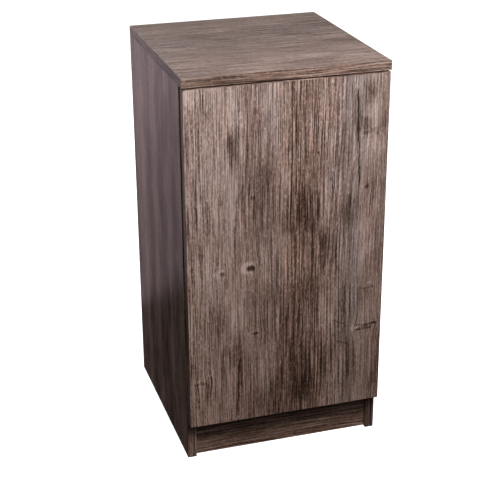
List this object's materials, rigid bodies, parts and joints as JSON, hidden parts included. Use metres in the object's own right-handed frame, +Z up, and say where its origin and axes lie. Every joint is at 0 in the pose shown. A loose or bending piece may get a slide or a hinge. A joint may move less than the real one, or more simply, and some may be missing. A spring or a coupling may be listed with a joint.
{
  "type": "aquarium cabinet",
  "caption": "Tall flat-pack cabinet that carries a small aquarium: sides down to the floor, recessed plinth, handle-less overlay door on concealed hinges, shelf inside.",
  "frame": {"origin": "on the floor under the middle of the cabinet's footprint", "axes": "+X to the right seen from the front, +Y towards the back, +Z up"},
  "size_m": [0.4, 0.418, 0.79],
  "materials": {
    "decor_board": "chipboard with a satin rustic-oak paper laminate",
    "edge_laminate": "satin edge band",
    "hardboard": "thin hardboard, smooth face",
    "hinge_steel": "nickel-plated",
    "pin_steel": "nickel-plated",
    "zinc_screw": "zinc-plated",
    "zinc_casting": "bare zinc casting",
    "dowel_wood": "bare beech",
    "latch_plastic": "moulded",
    "plunger_plastic": "moulded",
    "magnet_nickel": "nickel-plated magnet"
  },
  "bodies": {
    "carcass": {"left_side_panel": "decor_board", "right_side_panel": "decor_board", "top_panel": "decor_board", "bottom_panel": "decor_board", "front_plinth": "decor_board", "rear_plinth": "decor_board", "rear_rail": "decor_board", "shelf": "decor_board", "top_edge_bands": "edge_laminate", "bottom_edge_band": "edge_laminate", "shelf_edge_band": "edge_laminate", "left_side_edge_band": "edge_laminate", "right_side_edge_band": "edge_laminate", "back_panel": "hardboard", "lower_hinge_arm": "hinge_steel", "lower_mounting_plate": "hinge_steel", "upper_hinge_arm": "hinge_steel", "upper_mounting_plate": "hinge_steel", "hinge_arm_pins": "pin_steel", "hinge_adjusting_screws": "pin_steel", "shelf_pins": "pin_steel", "hinge_plate_screws": "zinc_screw", "back_panel_screws": "zinc_screw", "latch_screws": "zinc_screw", "cam_bolts": "zinc_screw", "cam_locks": "zinc_casting", "dowels": "dowel_wood", "latch_housing": "latch_plastic"},
    "outer_links": {"lower_outer_link": "hinge_steel", "upper_outer_link": "hinge_steel"},
    "door": {"door_panel": "decor_board", "door_edge_bands": "edge_laminate", "lower_hinge_cup": "hinge_steel", "upper_hinge_cup": "hinge_steel", "hinge_cup_pins": "pin_steel", "hinge_cup_screws": "zinc_screw", "striker_plate": "zinc_screw"},
    "inner_links": {"lower_inner_link": "hinge_steel", "upper_inner_link": "hinge_steel"},
    "latch_plunger": {"latch_plunger": "plunger_plastic", "latch_magnet": "magnet_nickel"}
  },
  "joints": [
    {"name": "outer_links_turn", "type": "hinge", "parent": "carcass", "child": "outer_links", "pos_m": [0.1655, -0.1866, 0.425], "axis": [0, 0, -1], "range_deg": [0, 33.44]},
    {"name": "door_swing", "type": "hinge", "parent": "outer_links", "child": "door", "pos_m": [0.1872, -0.1935, 0.425], "axis": [0, 0, 1], "range_deg": [0, 128.44]},
    {"name": "inner_links_turn", "type": "hinge", "parent": "carcass", "child": "inner_links", "pos_m": [0.1713, -0.1963, 0.425], "axis": [0, 0, -1], "range_deg": [0, 19.72]},
    {"name": "latch_push", "type": "slide", "parent": "carcass", "child": "latch_plunger", "axis": [0, -1, 0], "range_m": [0, 0.01]}
  ],
  "couplings": [
    {"joint": "outer_links_turn", "follows": "door_swing", "ratio": 0.26036},
    {"joint": "inner_links_turn", "follows": "door_swing", "ratio": 0.15352},
    {"joint": "latch_push", "follows": "door_swing", "m_per_rad": 0.00446}
  ]
}
